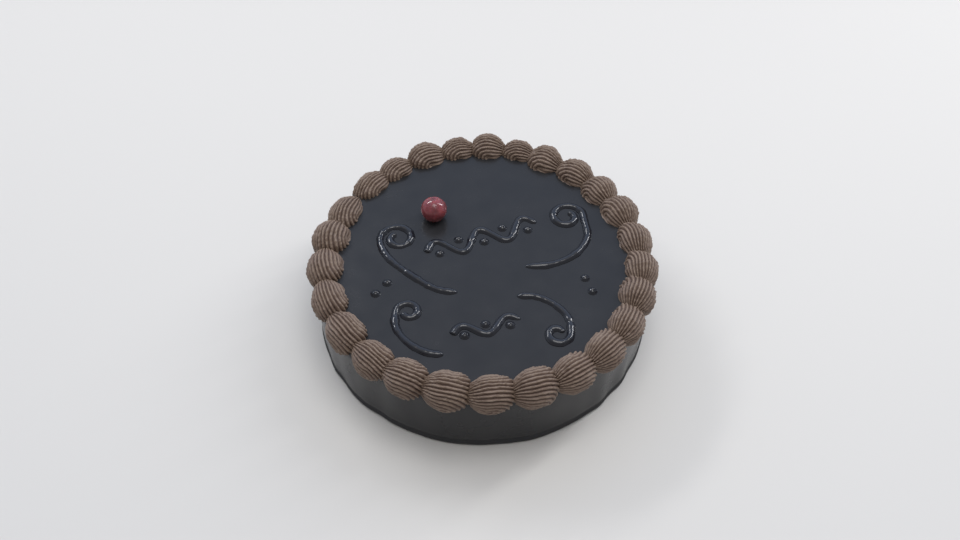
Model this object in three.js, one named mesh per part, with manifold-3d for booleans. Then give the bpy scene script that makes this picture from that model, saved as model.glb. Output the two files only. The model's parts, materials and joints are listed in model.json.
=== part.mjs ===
// A sachertorte: one uncut round cake under dark chocolate glaze, a border of star-piped chocolate
// cream shells round its top edge, one candied cherry, and piped chocolate scrolls on the glaze.
// Millimetres, +Z up. The cake is modelled round its own axis and then moved a little, so that the
// origin is at the middle of the whole part's footprint, at the base.
import * as THREE from "three";
import { mergeVertices } from "three/addons/utils/BufferGeometryUtils.js";
import Module from "manifold-3d";

// ---- driving dimensions ----
const CAKE_RADIUS = 112;
const CAKE_HEIGHT = 52;
const GLAZE_FOOT = 1.2; // how far the glaze draws in at the very bottom
const SHOULDER = 9; // rounding of the glazed top edge
const CAKE_SIDES = 60; // flats round the cake
const GAP = 0.3; // room between pieces that touch

// The shells as they were piped, clockwise from above: the angle in degrees and the distance from the
// cake's axis at which a shell's middle stands, and its size against the driving dimensions below.
const SHELLS = [
  { at: 87.5, ring: 104.9, size: 1.07 }, // the larger one that closed the ring
  { at: 75, ring: 104, size: 0.9 },
  { at: 63.5, ring: 101.9, size: 1.06 },
  { at: 49.5, ring: 102, size: 1.06 },
  { at: 36, ring: 101.2, size: 1.1 },
  { at: 23, ring: 101.9, size: 1.12 },
  { at: 8.5, ring: 102.7, size: 1.03 },
  { at: -5.5, ring: 103.8, size: 0.98 },
  { at: -18, ring: 103.3, size: 1.05 },
  { at: -31.5, ring: 104.4, size: 1 },
  { at: -45, ring: 105.2, size: 1.04 },
  { at: -59, ring: 105.4, size: 1.03 },
  { at: -73, ring: 105.2, size: 1.06 },
  { at: -87.5, ring: 105, size: 0.98 },
  { at: -102, ring: 104.7, size: 1.05 },
  { at: -116.5, ring: 104.4, size: 1.02 },
  { at: -130, ring: 104, size: 0.97 },
  { at: -145, ring: 103.7, size: 1.04 },
  { at: -160.5, ring: 103.2, size: 1 },
  { at: -175.5, ring: 102.5, size: 1.07 },
  { at: -190, ring: 102.2, size: 1.1 },
  { at: -203.5, ring: 101.7, size: 0.98 },
  { at: -221, ring: 102.2, size: 0.92 },
  { at: -233.5, ring: 102.4, size: 0.89 },
  { at: -247.5, ring: 103.8, size: 1.06 },
  { at: -260.5, ring: 104.1, size: 0.93 },
];
const SHELL_AXIS_HEIGHT = 48.5; // the middle of each shell's ridge axis
const SHELL_RISE = 12.8; // from that axis up to the crest
const SHELL_DROP = 7; // from that axis down to the underside
const SHELL_REACH = 12.4; // half width across the edge of the cake
const SHELL_LEAN = THREE.MathUtils.degToRad(22); // the outer end hangs lower than the inner one
const SHELL_CROWDING = 1.18; // length along the edge, over the distance to the next shell
const SHELL_FULLNESS = 0.86; // 1 makes a shell an ellipsoid, and less makes its ends blunter
const SHELL_RIDGES = 5;
const RIDGE_DEPTH = 2.2; // from a ridge's crest to the groove beside it
const RIDGE_SHARE_PROUD = 0.25; // the part of that depth that stands out of the bulb
const TAIL_DROOP = 0.34; // how much lower and narrower the forward end of a shell is

const CHERRY_RADIUS = 9;
const CHERRY_HALF_HEIGHT = 8.4;
const CHERRY_PLACE = new THREE.Vector2(-33, 36.3);
const CHERRY_DIMPLE = 2;
const CHERRY_FLAT = 2.6; // radius of the spot it sits on

const LINE_WIDTH = 4.4; // a piped chocolate line
const LINE_HEIGHT = 2;
const DOT_RADIUS = 2.7; // a drop of the same chocolate
const DOT_HEIGHT = 2.6;

// ---- materials ----
const finish = (color, roughness) => new THREE.MeshStandardMaterial({ color, roughness, metalness: 0 });
const glaze = () => finish("#262424", 0.28);
const cream = () => finish("#5c4c46", 0.55);
const candied = () => finish("#8a3038", 0.12);

// ---- joining and cutting ----
const wasm = await Module();
wasm.setup();

function solid(geometry) {
  const bare = geometry.clone();
  bare.deleteAttribute("normal");
  bare.deleteAttribute("uv");
  const merged = mergeVertices(bare, 1e-4);
  return new wasm.Manifold(
    new wasm.Mesh({
      numProp: 3,
      vertProperties: new Float32Array(merged.getAttribute("position").array),
      triVerts: new Uint32Array(merged.getIndex().array),
    }),
  );
}

// The largest body of a solid: a cut can leave slivers beside it.
function mainBody(cut) {
  const bodies = cut.decompose();
  return bodies.reduce((best, body) => (body.volume() > best.volume() ? body : best));
}

function geometryOf(manifold) {
  const { numProp, vertProperties, triVerts } = manifold.getMesh();
  const places = new Float32Array((vertProperties.length / numProp) * 3);
  for (let i = 0; i < places.length / 3; i += 1) {
    places.set(vertProperties.subarray(i * numProp, i * numProp + 3), i * 3);
  }
  const geometry = new THREE.BufferGeometry();
  geometry.setAttribute("position", new THREE.BufferAttribute(places, 3));
  geometry.setIndex(new THREE.BufferAttribute(new Uint32Array(triVerts), 1));
  geometry.computeVertexNormals();
  return geometry;
}

const part = new THREE.Group();

function add(name, geometry, material) {
  const mesh = new THREE.Mesh(geometry, material);
  mesh.name = name;
  part.add(mesh);
  return mesh;
}

// A steady unevenness between -1 and 1, different for each index and each use.
function uneven(index, use) {
  return 0.6 * Math.sin(2.4 * index + 1.9 * use) + 0.4 * Math.sin(5.3 * index + 3.1 * use);
}

// ---- the cake ----
// The outline runs from the middle of the base, up the side, over the shoulder and in to the axis.
function cakeGeometry(grow) {
  const radius = CAKE_RADIUS + grow;
  const top = CAKE_HEIGHT + grow;
  const outline = [
    new THREE.Vector2(0, 0),
    new THREE.Vector2(radius - GLAZE_FOOT, 0),
    new THREE.Vector2(radius, 2 * GLAZE_FOOT),
  ];
  const steps = 3;
  for (let i = 0; i <= steps; i += 1) {
    const turn = (i / steps) * (Math.PI / 2);
    const inward = SHOULDER * (1 - Math.cos(turn));
    const down = SHOULDER * (1 - Math.sin(turn));
    outline.push(new THREE.Vector2(radius - inward, top - down));
  }
  outline.push(new THREE.Vector2(0, top));
  return new THREE.LatheGeometry(outline, CAKE_SIDES).rotateX(Math.PI / 2);
}

add("cake", cakeGeometry(0), glaze());

// ---- the border of piped shells ----
// Seen from above the shells were piped clockwise, each on the tail of the one before. A shell is a
// bulb round a ridge axis that crosses the edge of the cake: the star nozzle's ridges arch over it
// from back to front, so from the side they are nested arcs.

// Half the distance, along the edge, between the two neighbours of a shell.
function spacing(index) {
  const before = SHELLS.at(index - 1).at + (index === 0 ? 360 : 0);
  const after = index === SHELLS.length - 1 ? SHELLS[0].at - 360 : SHELLS[index + 1].at;
  return (THREE.MathUtils.degToRad(before - after) / 2) * SHELLS[index].ring;
}

// A point of a shell in its own axes: x forward along the edge, y outward, z up.
function shellPoint(round, across, run, size, grow) {
  const ridge = (1 + Math.cos(2 * SHELL_RIDGES * across)) / 2; // 1 on a crest, 0 in a groove
  const proud = RIDGE_DEPTH * (ridge - 1 + RIDGE_SHARE_PROUD) * Math.sin(across);
  const swell = Math.sin(across) ** SHELL_FULLNESS + (proud + grow) / SHELL_RISE;
  const forward = Math.max(0, Math.cos(round)) ** 2;
  const tail = 1 - TAIL_DROOP * forward;
  const height = Math.sin(round) > 0 ? SHELL_RISE * size * tail : SHELL_DROP;
  return new THREE.Vector3(
    run * swell * Math.cos(round),
    -(SHELL_REACH * size * tail + grow) * Math.cos(across),
    height * swell * Math.sin(round),
  );
}

// A shell as one closed skin: rows of points from its inner pole to its outer pole.
function shellGeometry(index, grow) {
  const around = 12;
  const rows = 2 * SHELL_RIDGES;
  const run = (spacing(index) * SHELL_CROWDING) / 2;
  const { at: angle, ring, size } = SHELLS[index];
  const at = (row, column) =>
    shellPoint((column / around) * 2 * Math.PI, (row / rows) * Math.PI, run + grow, size, grow);
  const points = [at(0, 0)];
  const triangles = [];
  for (let row = 1; row < rows; row += 1) {
    for (let column = 0; column < around; column += 1) {
      points.push(at(row, column));
    }
  }
  points.push(at(rows, 0));
  const place = (row, column) => 1 + (row - 1) * around + (column % around);
  for (let column = 0; column < around; column += 1) {
    triangles.push(0, place(1, column), place(1, column + 1));
    triangles.push(points.length - 1, place(rows - 1, column + 1), place(rows - 1, column));
    for (let row = 1; row < rows - 1; row += 1) {
      const corners = [place(row, column), place(row + 1, column)];
      const next = [place(row, column + 1), place(row + 1, column + 1)];
      triangles.push(corners[0], corners[1], next[1], corners[0], next[1], next[0]);
    }
  }
  const geometry = new THREE.BufferGeometry().setFromPoints(points);
  geometry.setIndex(triangles);

  const turn = THREE.MathUtils.degToRad(angle - 90);
  const lean = SHELL_LEAN + 0.05 * uneven(index, 3);
  const height = SHELL_AXIS_HEIGHT + 0.5 * uneven(index, 5);
  return geometry.rotateX(-lean).translate(0, ring, height).rotateZ(turn);
}

const cakeRoom = solid(cakeGeometry(GAP));
const shellSolids = SHELLS.map((_, index) => solid(shellGeometry(index, 0)));
const shellRooms = SHELLS.map((_, index) => solid(shellGeometry(index, GAP)));

for (let index = 0; index < SHELLS.length; index += 1) {
  const next = (index + 1) % SHELLS.length;
  const cut = shellSolids[index].subtract(cakeRoom).subtract(shellRooms[next]);
  const name = `shell_${String(index + 1).padStart(2, "0")}`;
  add(name, geometryOf(mainBody(cut)), cream());
}

// ---- the candied cherry ----
function cherryGeometry() {
  const outline = [
    new THREE.Vector2(0, -CHERRY_HALF_HEIGHT),
    new THREE.Vector2(CHERRY_FLAT, -CHERRY_HALF_HEIGHT),
  ];
  const steps = 7;
  const lowest = -1.15;
  const highest = 1.3;
  for (let i = 1; i <= steps; i += 1) {
    const turn = lowest + (i / steps) * (highest - lowest);
    const across = CHERRY_RADIUS * Math.cos(turn);
    outline.push(new THREE.Vector2(across, CHERRY_HALF_HEIGHT * Math.sin(turn)));
  }
  outline.push(new THREE.Vector2(0, CHERRY_HALF_HEIGHT - CHERRY_DIMPLE));
  return new THREE.LatheGeometry(outline, 15).rotateX(Math.PI / 2);
}

const cherry = add("cherry", cherryGeometry(), candied());
cherry.position.set(CHERRY_PLACE.x, CHERRY_PLACE.y, CAKE_HEIGHT + GAP + CHERRY_HALF_HEIGHT);

// ---- the piped chocolate scrolls and drops ----
// Each line is one strand with a round top and a flat underside, lying on the glaze.
function lineGeometry(points, steps) {
  const route = new THREE.CatmullRomCurve3(points, false, "centripetal");
  const arch = 4;
  const section = new THREE.Shape();
  section.moveTo(0, -LINE_WIDTH / 2);
  for (let i = 1; i < arch; i += 1) {
    const turn = (i / arch) * Math.PI;
    section.lineTo(-LINE_HEIGHT * Math.sin(turn), (-LINE_WIDTH / 2) * Math.cos(turn));
  }
  section.lineTo(0, LINE_WIDTH / 2);
  section.closePath();
  return new THREE.ExtrudeGeometry(section, { steps, extrudePath: route, bevelEnabled: false });
}

const onGlaze = (x, y) => new THREE.Vector3(x, y, CAKE_HEIGHT + GAP);

// A scroll grows out of a small spiral round its eye and runs on into a tail.
function scrollPoints({ eye, inner, outer, turns, leaves, hand, tail }) {
  const points = [];
  const steps = Math.round(9 * turns);
  for (let i = 0; i <= steps; i += 1) {
    const grown = i / steps;
    const angle = THREE.MathUtils.degToRad(leaves - hand * turns * 360 * (1 - grown));
    const radius = inner + (outer - inner) * grown;
    points.push(onGlaze(eye[0] + radius * Math.cos(angle), eye[1] + radius * Math.sin(angle)));
  }
  return points.concat(tail.map(([x, y]) => onGlaze(x, y)));
}

// The place that lies some share of the way along a wavy line's middle, and off to its left.
function besideLine({ from, to }, along, aside) {
  const run = new THREE.Vector2(to[0] - from[0], to[1] - from[1]);
  const left = new THREE.Vector2(-run.y, run.x).normalize();
  return onGlaze(from[0] + run.x * along + left.x * aside, from[1] + run.y * along + left.y * aside);
}

function wavePoints(wave) {
  const points = [];
  const steps = 8 * wave.bays;
  for (let i = 0; i <= steps; i += 1) {
    const along = i / steps;
    points.push(besideLine(wave, along, wave.swing * Math.sin(along * wave.bays * Math.PI)));
  }
  return points;
}

// A spiral's radius grows from inner to outer. It leaves for its tail at an angle in degrees, and
// hand is 1 where it winds anticlockwise. The tail is the points that it runs on through.
const BACK_SCROLL = { inner: 4, outer: 12.5, turns: 1.25 };
const FRONT_SCROLL = { inner: 3, outer: 8.5, turns: 1 };
const scrolls = {
  scroll_left: {
    ...BACK_SCROLL,
    eye: [-57, 17],
    leaves: 200,
    hand: 1,
    tail: [[-62, -1], [-46, -16], [-30, -27], [-16, -30]],
  },
  scroll_right: {
    ...BACK_SCROLL,
    eye: [58, 37],
    leaves: -15,
    hand: -1,
    tail: [[71, 18], [62, 3], [46, -6], [28, -8]],
  },
  scroll_front_left: {
    ...FRONT_SCROLL,
    eye: [-47, -46],
    leaves: 190,
    hand: 1,
    tail: [[-54, -59], [-46, -70], [-35, -77], [-24, -79]],
  },
  scroll_front_right: {
    ...FRONT_SCROLL,
    eye: [47, -63],
    leaves: 10,
    hand: 1,
    tail: [[54, -50], [45, -39], [33, -33], [22, -33]],
  },
};
// A wave has one half turn in each bay, and swings this far to each side of the line between its ends.
const waves = {
  wave_back: { from: [-37, 4], to: [37, 31], swing: 7.5, bays: 5 },
  wave_front: { from: [-19, -64], to: [24, -52], swing: 5, bays: 3 },
};
const lineSteps = { scroll: 20, bay: 5 };
const sideDots = [[-62, -22], [-69, -31], [67, -18], [71, -29]];

for (const [name, scroll] of Object.entries(scrolls)) {
  add(name, lineGeometry(scrollPoints(scroll), lineSteps.scroll), glaze());
}
for (const [name, wave] of Object.entries(waves)) {
  add(name, lineGeometry(wavePoints(wave), lineSteps.bay * wave.bays), glaze());
}

// In every bay of a wave lies one drop.
const dotPlaces = sideDots.map(([x, y]) => onGlaze(x, y));
for (const wave of Object.values(waves)) {
  for (let bay = 0; bay < wave.bays; bay += 1) {
    const side = bay % 2 === 0 ? -1 : 1;
    dotPlaces.push(besideLine(wave, (bay + 0.5) / wave.bays, side * wave.swing * 0.5));
  }
}

function dotGeometry() {
  const outline = [
    new THREE.Vector2(0, 0),
    new THREE.Vector2(DOT_RADIUS, 0),
    new THREE.Vector2(DOT_RADIUS * 0.78, DOT_HEIGHT * 0.62),
    new THREE.Vector2(0, DOT_HEIGHT),
  ];
  return new THREE.LatheGeometry(outline, 8).rotateX(Math.PI / 2);
}

dotPlaces.forEach((place, index) => {
  const dot = add(`dot_${String(index + 1).padStart(2, "0")}`, dotGeometry(), glaze());
  dot.position.copy(place);
});

// ---- the origin ----
const footprint = new THREE.Box3().setFromObject(part).getCenter(new THREE.Vector3());
for (const mesh of part.children) {
  mesh.position.x -= footprint.x;
  mesh.position.y -= footprint.y;
}

export default part;
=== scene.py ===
# %% [markdown]
# # A sachertorte with a piped border
# This lesson dresses one cake: a round body under dark chocolate glaze, twenty-six shells of
# chocolate cream piped round its edge, one candied cherry, and an ornament piped in chocolate on the
# glaze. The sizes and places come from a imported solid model, which loads first and stays as it is.
# Every finer shape made here stands in for one of its solids, in the same place.

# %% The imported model
import math

import bpy
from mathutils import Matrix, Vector
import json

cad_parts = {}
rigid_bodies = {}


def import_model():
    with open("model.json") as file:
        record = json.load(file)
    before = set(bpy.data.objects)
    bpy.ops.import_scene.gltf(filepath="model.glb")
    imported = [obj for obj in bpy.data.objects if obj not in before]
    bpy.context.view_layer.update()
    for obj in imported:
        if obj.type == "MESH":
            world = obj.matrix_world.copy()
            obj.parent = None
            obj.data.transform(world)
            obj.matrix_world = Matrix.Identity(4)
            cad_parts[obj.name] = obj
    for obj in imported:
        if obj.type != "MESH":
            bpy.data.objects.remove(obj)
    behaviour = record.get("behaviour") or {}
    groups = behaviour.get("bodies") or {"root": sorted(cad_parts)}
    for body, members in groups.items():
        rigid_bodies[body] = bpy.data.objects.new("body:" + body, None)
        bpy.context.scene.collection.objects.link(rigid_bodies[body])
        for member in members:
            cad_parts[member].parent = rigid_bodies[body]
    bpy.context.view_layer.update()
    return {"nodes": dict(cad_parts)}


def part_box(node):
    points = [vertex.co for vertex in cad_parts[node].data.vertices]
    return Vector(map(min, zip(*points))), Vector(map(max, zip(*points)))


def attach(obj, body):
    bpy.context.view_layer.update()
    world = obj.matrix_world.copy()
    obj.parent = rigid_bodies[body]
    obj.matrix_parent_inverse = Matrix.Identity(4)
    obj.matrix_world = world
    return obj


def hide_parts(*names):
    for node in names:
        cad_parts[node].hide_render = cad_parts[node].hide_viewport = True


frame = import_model()
MM = 0.001

# %% [markdown]
# ## Where the cake is
# All that follows is measured from two things: the vertical axis of the round cake, and the height
# of its glazed top. Both are read from the box of its solid. The cake isn't quite in the middle of the
# whole model, because the piped border is uneven.

# %% Axis and top
cake_low, cake_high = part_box("cake")
AXIS = (cake_low + cake_high) / 2
AXIS.z = 0
CAKE_RADIUS = (cake_high.x - cake_low.x) / 2
CAKE_TOP = cake_high.z
print("radius", round(CAKE_RADIUS / MM, 1), "top", round(CAKE_TOP / MM, 1), "mm")

# %% [markdown]
# ## The camera
# A cake on a counter is seen from above and in front. The camera stands well back and looks down at
# almost 50 degrees, so the top shows as a broad ellipse and the front of the side shows too.
# It aims a little in front of the cake's axis, at the height of the glaze. To turn a camera, its own
# -Z axis is pointed along the line of sight, with its Y axis up.

# %% Camera
VIEW_DOWN = math.radians(49.8)
VIEW_DISTANCE = 644.7 * MM
VIEW_TARGET = AXIS + Vector((-1.6 * MM, -13.5 * MM, 55 * MM))
LENS = 36.98
SENSOR = 36

camera = bpy.data.objects.new("camera", bpy.data.cameras.new("camera"))
camera.data.lens = LENS
camera.data.sensor_width = SENSOR
back = Vector((0, -math.cos(VIEW_DOWN), math.sin(VIEW_DOWN)))
camera.location = VIEW_TARGET + VIEW_DISTANCE * back
camera.rotation_euler = (-back).to_track_quat("-Z", "Y").to_euler()
bpy.context.collection.objects.link(camera)
bpy.context.scene.camera = camera
print("camera at", [round(v / MM) for v in camera.location], "mm")

# %% [markdown]
# ## Two helpers for node trees
# Blender builds materials, the sky and shapes from the same kind of tree, so one small function serves
# all three. It adds a node, sets the node's own choices, and feeds its inputs, each with a plain value
# or with another node's output. Colours are written as the hex values that a colour picker shows.
# Light adds up in linear values, so one function turns them.

# %% Node helper
NODES_A_ROW, NODE_WIDE, NODE_HIGH = 10, 220, 260


def add(tree, kind, feeds=(), **settings):
    """Adds a node. Feeds are its inputs, by name or in order: a value, a node or an output."""
    node = tree.nodes.new(kind)
    row, column = divmod(len(tree.nodes), NODES_A_ROW)
    node.location = (NODE_WIDE * column, -NODE_HIGH * row)
    for name, value in settings.items():
        setattr(node, name, value)
    open_inputs = [socket for socket in node.inputs if socket.enabled]
    by_name = {socket.name: socket for socket in reversed(open_inputs)}
    for key, feed in feeds.items() if isinstance(feeds, dict) else enumerate(feeds):
        socket = by_name[key] if isinstance(key, str) else open_inputs[key]
        if isinstance(feed, bpy.types.Node):
            feed = next(output for output in feed.outputs if output.enabled)
        if isinstance(feed, bpy.types.NodeSocket):
            tree.links.new(feed, socket)
        else:
            socket.default_value = feed
    return node


def linear(hex_colour):
    """The linear colour that an sRGB hex value stands for."""
    parts = [int(hex_colour[i : i + 2], 16) / 255 for i in (1, 3, 5)]
    return [((c + 0.055) / 1.055) ** 2.4 if c > 0.04045 else c / 12.92 for c in parts] + [1]


# %% [markdown]
# ## Light
# A near-black glaze has almost no colour of its own. Much of what the eye sees on it is the room, at a
# few hundredths of its brightness, so the sky decides how the top of this cake looks. The sky here is
# a studio dome. It starts as the plain grey of its front and changes three times: to a bright blue
# behind the cake, which the top mirrors towards the camera and takes part of its cold tone from, to a
# pale ceiling, and to a paler grey low down. The rest of that cold tone is painted reflection in the
# chocolate's own colours. The darker front gives the piped lines their relief.
# Three lamps do the rest. Two strip lights behind the cake lay the bright bars on the cherry and the
# sparkle on the piped lines, because only a long narrow light leaves a long narrow highlight. A soft
# box above shapes the cream without hard shadows.

# %% Sky
SKY_FRONT = "#8f8f90"
SKY_CHANGES = {
    "blue behind": {"colour": "#bdcfec", "along": "Y", "starts": -0.3, "full": 0.7},
    "pale overhead": {"colour": "#e8e8e8", "along": "Z", "starts": 0.75, "full": 1.0},
    "grey low down": {"colour": "#b0b0b0", "along": "Z", "starts": 0.35, "full": 0.0},
}
SKY_STRENGTH = 1.25

world = bpy.data.worlds.new("studio dome")
world.use_nodes = True
sky = world.node_tree
sky.nodes.clear()
direction = add(sky, "ShaderNodeTexCoord").outputs["Generated"]
parts = add(sky, "ShaderNodeSeparateXYZ", [direction]).outputs
dome = linear(SKY_FRONT)
for change in SKY_CHANGES.values():
    share = add(sky, "ShaderNodeMapRange", [parts[change["along"]], change["starts"], change["full"]],
                interpolation_type="SMOOTHSTEP")
    dome = add(sky, "ShaderNodeMix", {"Factor": share, "A": dome, "B": linear(change["colour"])},
               data_type="RGBA")
shine = add(sky, "ShaderNodeBackground", {"Color": dome, "Strength": SKY_STRENGTH})
add(sky, "ShaderNodeOutputWorld", {"Surface": shine})
bpy.context.scene.world = world
bpy.context.scene.view_settings.view_transform = "Standard"
print("sky:", len(sky.nodes), "nodes")

# %% Lamps
LAMPS = {
    "soft box above": {"towards": (0.1, -0.05, 1.0), "away": 1.3, "wide": 0.7, "high": 0.7, "watts": 5.5},
    "strip left": {"towards": (-0.53, 0.54, 0.66), "away": 1.2, "wide": 0.6, "high": 0.12, "watts": 4},
    "strip right": {"towards": (0.66, 0.43, 0.61), "away": 1.2, "wide": 0.1, "high": 0.9, "watts": 5},
}
LAMP_AIM = AXIS + Vector((0, 0, CAKE_TOP))
for name, lamp in LAMPS.items():
    light = bpy.data.lights.new(name, "AREA")
    light.shape = "RECTANGLE"
    light.size, light.size_y = lamp["wide"], lamp["high"]
    light.energy = lamp["watts"]
    holder = bpy.data.objects.new(name, light)
    towards = Vector(lamp["towards"]).normalized()
    holder.location = LAMP_AIM + lamp["away"] * towards
    holder.rotation_euler = (-towards).to_track_quat("-Z", "Y").to_euler()
    bpy.context.collection.objects.link(holder)
print("lamps:", len(LAMPS))

# %% [markdown]
# ## The floor
# A wide pale matt sheet. It isn't part of the cake. It lies a hair below the
# cake's base, because two faces at the same height would flicker.

# %% Floor
FLOOR_HALF = 4.0
FLOOR_HEIGHT = -0.2 * MM
FLOOR_CARD = "#cfccc8"
floor_material = bpy.data.materials.new("pale matt card")
floor_material.use_nodes = True
shader = floor_material.node_tree.nodes["Principled BSDF"]
shader.inputs["Base Color"].default_value = linear(FLOOR_CARD)
shader.inputs["Roughness"].default_value = 0.9

floor_mesh = bpy.data.meshes.new("floor")
corners = [(-1, -1), (1, -1), (1, 1), (-1, 1)]
floor_mesh.from_pydata([(FLOOR_HALF * x, FLOOR_HALF * y, FLOOR_HEIGHT) for x, y in corners], [], [range(4)])
floor_mesh.materials.append(floor_material)
floor = bpy.data.objects.new("floor", floor_mesh)
bpy.context.collection.objects.link(floor)
print("floor", 2 * FLOOR_HALF, "m wide")

# %% [markdown]
# ## Chocolate glaze
# The glaze is sugar and chocolate cooked together and poured over warm. It sets nearly black, with an
# even satin gloss and slight ripples, because it is poured and not polished. The fine sugar in it
# scatters a little light, so it never looks as deep as lacquer. The ornament is piped in the same
# chocolate, but thicker and without the sugar, and it sets glossier. One function makes both, from the
# two ends of the colour, the two ends of the roughness and the strength of the reflection.

# %% Glaze material
CLOUDY = (0.3, 0.7)  # most values of a soft noise lie between these
GLAZE_CLOUD = 18 * MM
RIPPLE_WIDTH, RIPPLE_DEPTH = 7 * MM, 0.1 * MM


def new_material(name):
    """An empty material, its tree, and a place on the piece in metres to hang patterns on."""
    material = bpy.data.materials.new(name)
    material.use_nodes = True
    tree = material.node_tree
    tree.nodes.clear()
    place = add(tree, "ShaderNodeTexCoord").outputs["Object"]
    return material, tree, place


def finished(tree, shader):
    """Joins the shader to the material's output."""
    add(tree, "ShaderNodeOutputMaterial", {"Surface": shader})


def chocolate(name, dark, light, roughness, specular):
    """Set chocolate: cloudy in colour and in gloss, with the slight ripples of something poured."""
    material, tree, place = new_material(name)
    cloud = add(tree, "ShaderNodeTexNoise", {"Vector": place, "Scale": 1 / GLAZE_CLOUD, "Detail": 3.0})
    tint = add(tree, "ShaderNodeMix", {"Factor": cloud, "A": linear(dark), "B": linear(light)},
               data_type="RGBA")
    dull = add(tree, "ShaderNodeMapRange", [cloud, *CLOUDY, *roughness])
    ripple = add(tree, "ShaderNodeTexNoise", {"Vector": place, "Scale": 1 / RIPPLE_WIDTH, "Detail": 2.0})
    relief = add(tree, "ShaderNodeBump", {"Height": ripple, "Strength": 0.25, "Distance": RIPPLE_DEPTH})
    shader = add(tree, "ShaderNodeBsdfPrincipled", {
        "Base Color": tint, "Roughness": dull, "IOR": 1.5, "Specular IOR Level": specular,
        "Normal": relief})
    finished(tree, shader)
    return material


# the grey-blue of these colours, where set chocolate is brown, is painted reflection of the cold sky
# behind; the cloud between the two ends is the chocolate's own uneven tone
glaze = chocolate("poured chocolate glaze", "#252527", "#2c2c2e", (0.2, 0.28), 0.28)
piping = chocolate("piped chocolate", "#191a1f", "#212229", (0.1, 0.15), 0.5)
print(glaze.name, "and", piping.name)

# %% [markdown]
# ## Chocolate cream
# Whipped chocolate cream is a soft foam: satin where the nozzle smoothed it and matt where it tore. Its
# brown is greyish, far less red than it is remembered. The crests are painted a little paler, as painted
# light, and the grooves between them darker, as painted shade, with a small random drift of tone on top.
# The shapes below carry a value called "ridge", 1 on a crest and 0 in a groove, and this material reads
# it. Fine pits are burst air bubbles.

# %% Cream material
# the groove colour is painted shade and the crest colour is painted light; the middle one is the cream's
# own brown
CREAM_GROOVE_PAINTED_SHADE, CREAM_BODY, CREAM_CREST_PAINTED_LIGHT = "#46362d", "#624f45", "#7b695b"
CREAM_CLOUD, CREAM_DRIFT = 9 * MM, 0.15
PIT_WIDTH, PIT_DEPTH = 0.9 * MM, 0.15 * MM
GROOVE_DULL, CREST_DULL = 0.66, 0.52  # roughness: matt in the grooves, satin on the crests
cream, tree, place = new_material("whipped chocolate cream")
ridge = add(tree, "ShaderNodeAttribute", attribute_name="ridge").outputs["Fac"]
cloud = add(tree, "ShaderNodeTexNoise", {"Vector": place, "Scale": 1 / CREAM_CLOUD, "Detail": 4.0})
drift = add(tree, "ShaderNodeMapRange", [cloud, *CLOUDY, -CREAM_DRIFT, CREAM_DRIFT])
shade = add(tree, "ShaderNodeMath", [ridge, drift], operation="ADD", use_clamp=True)
# the ramp paints shade into the grooves and light onto the crests; the drift adds random tone
tint = add(tree, "ShaderNodeValToRGB", [shade])
stops = tint.color_ramp.elements
stops[0].color = linear(CREAM_GROOVE_PAINTED_SHADE)
stops[1].color = linear(CREAM_CREST_PAINTED_LIGHT)
stops.new(0.5).color = linear(CREAM_BODY)
pits = add(tree, "ShaderNodeTexNoise", {"Vector": place, "Scale": 1 / PIT_WIDTH, "Detail": 3.0})
relief = add(tree, "ShaderNodeBump", {"Height": pits, "Strength": 0.5, "Distance": PIT_DEPTH})
dull = add(tree, "ShaderNodeMapRange", [shade, 0.0, 1.0, GROOVE_DULL, CREST_DULL])
shader = add(tree, "ShaderNodeBsdfPrincipled", {
    "Base Color": tint, "Roughness": dull, "IOR": 1.45, "Normal": relief})
finished(tree, shader)
print(cream.name)

# %% [markdown]
# ## Candied cherry
# A cherry boiled in syrup is a deep, cloudy red under a wet coat of sugar. A little light goes into the
# flesh and comes out redder, which subsurface scattering gives, and the smooth coat gives the eye
# small hard highlights, which a low roughness gives.

# %% Cherry material
CHERRY_DEEP, CHERRY_RED = "#69363a", "#88444a"
CHERRY_CLOUD, CHERRY_CLOUDY = 6 * MM, (0.35, 0.65)
SKIN_GRAIN, SKIN_DEPTH = 1.5 * MM, 0.08 * MM
LIGHT_GOES_IN = 4 * MM  # how deep red light spreads in the flesh
candied, tree, place = new_material("syrup-glazed cherry")
cloud = add(tree, "ShaderNodeTexNoise", {"Vector": place, "Scale": 1 / CHERRY_CLOUD, "Detail": 3.0})
share = add(tree, "ShaderNodeMapRange", [cloud, *CHERRY_CLOUDY])
tint = add(tree, "ShaderNodeMix", {"Factor": share, "A": linear(CHERRY_DEEP), "B": linear(CHERRY_RED)},
           data_type="RGBA")
skin = add(tree, "ShaderNodeTexNoise", {"Vector": place, "Scale": 1 / SKIN_GRAIN, "Detail": 2.0})
relief = add(tree, "ShaderNodeBump", {"Height": skin, "Strength": 0.3, "Distance": SKIN_DEPTH})
shader = add(tree, "ShaderNodeBsdfPrincipled", {
    "Base Color": tint, "Roughness": 0.09, "IOR": 1.45, "Normal": relief,
    "Subsurface Weight": 0.5, "Subsurface Radius": (1.0, 0.4, 0.3), "Subsurface Scale": LIGHT_GOES_IN})
finished(tree, shader)
print(candied.name)

# %% [markdown]
# ## Shapes by rule
# Most shapes on this cake follow a rule, so they are made by Geometry Nodes: small programs drawn as a
# tree, whose inputs are the sizes of one piece. Four helpers serve them all. The first starts a tree
# with named inputs, and the second ends it. The third runs it once, on a throwaway object, and keeps the
# result as a plain mesh. A modifier knows its inputs by identifiers and not by names, so the helper
# looks those up, and it drops the empty material slot that some shapes start with. The fourth puts
# the finished mesh in the place of the solid that it stands for. In the cells below, t is the tree
# that is being built, and given holds its inputs.

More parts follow.
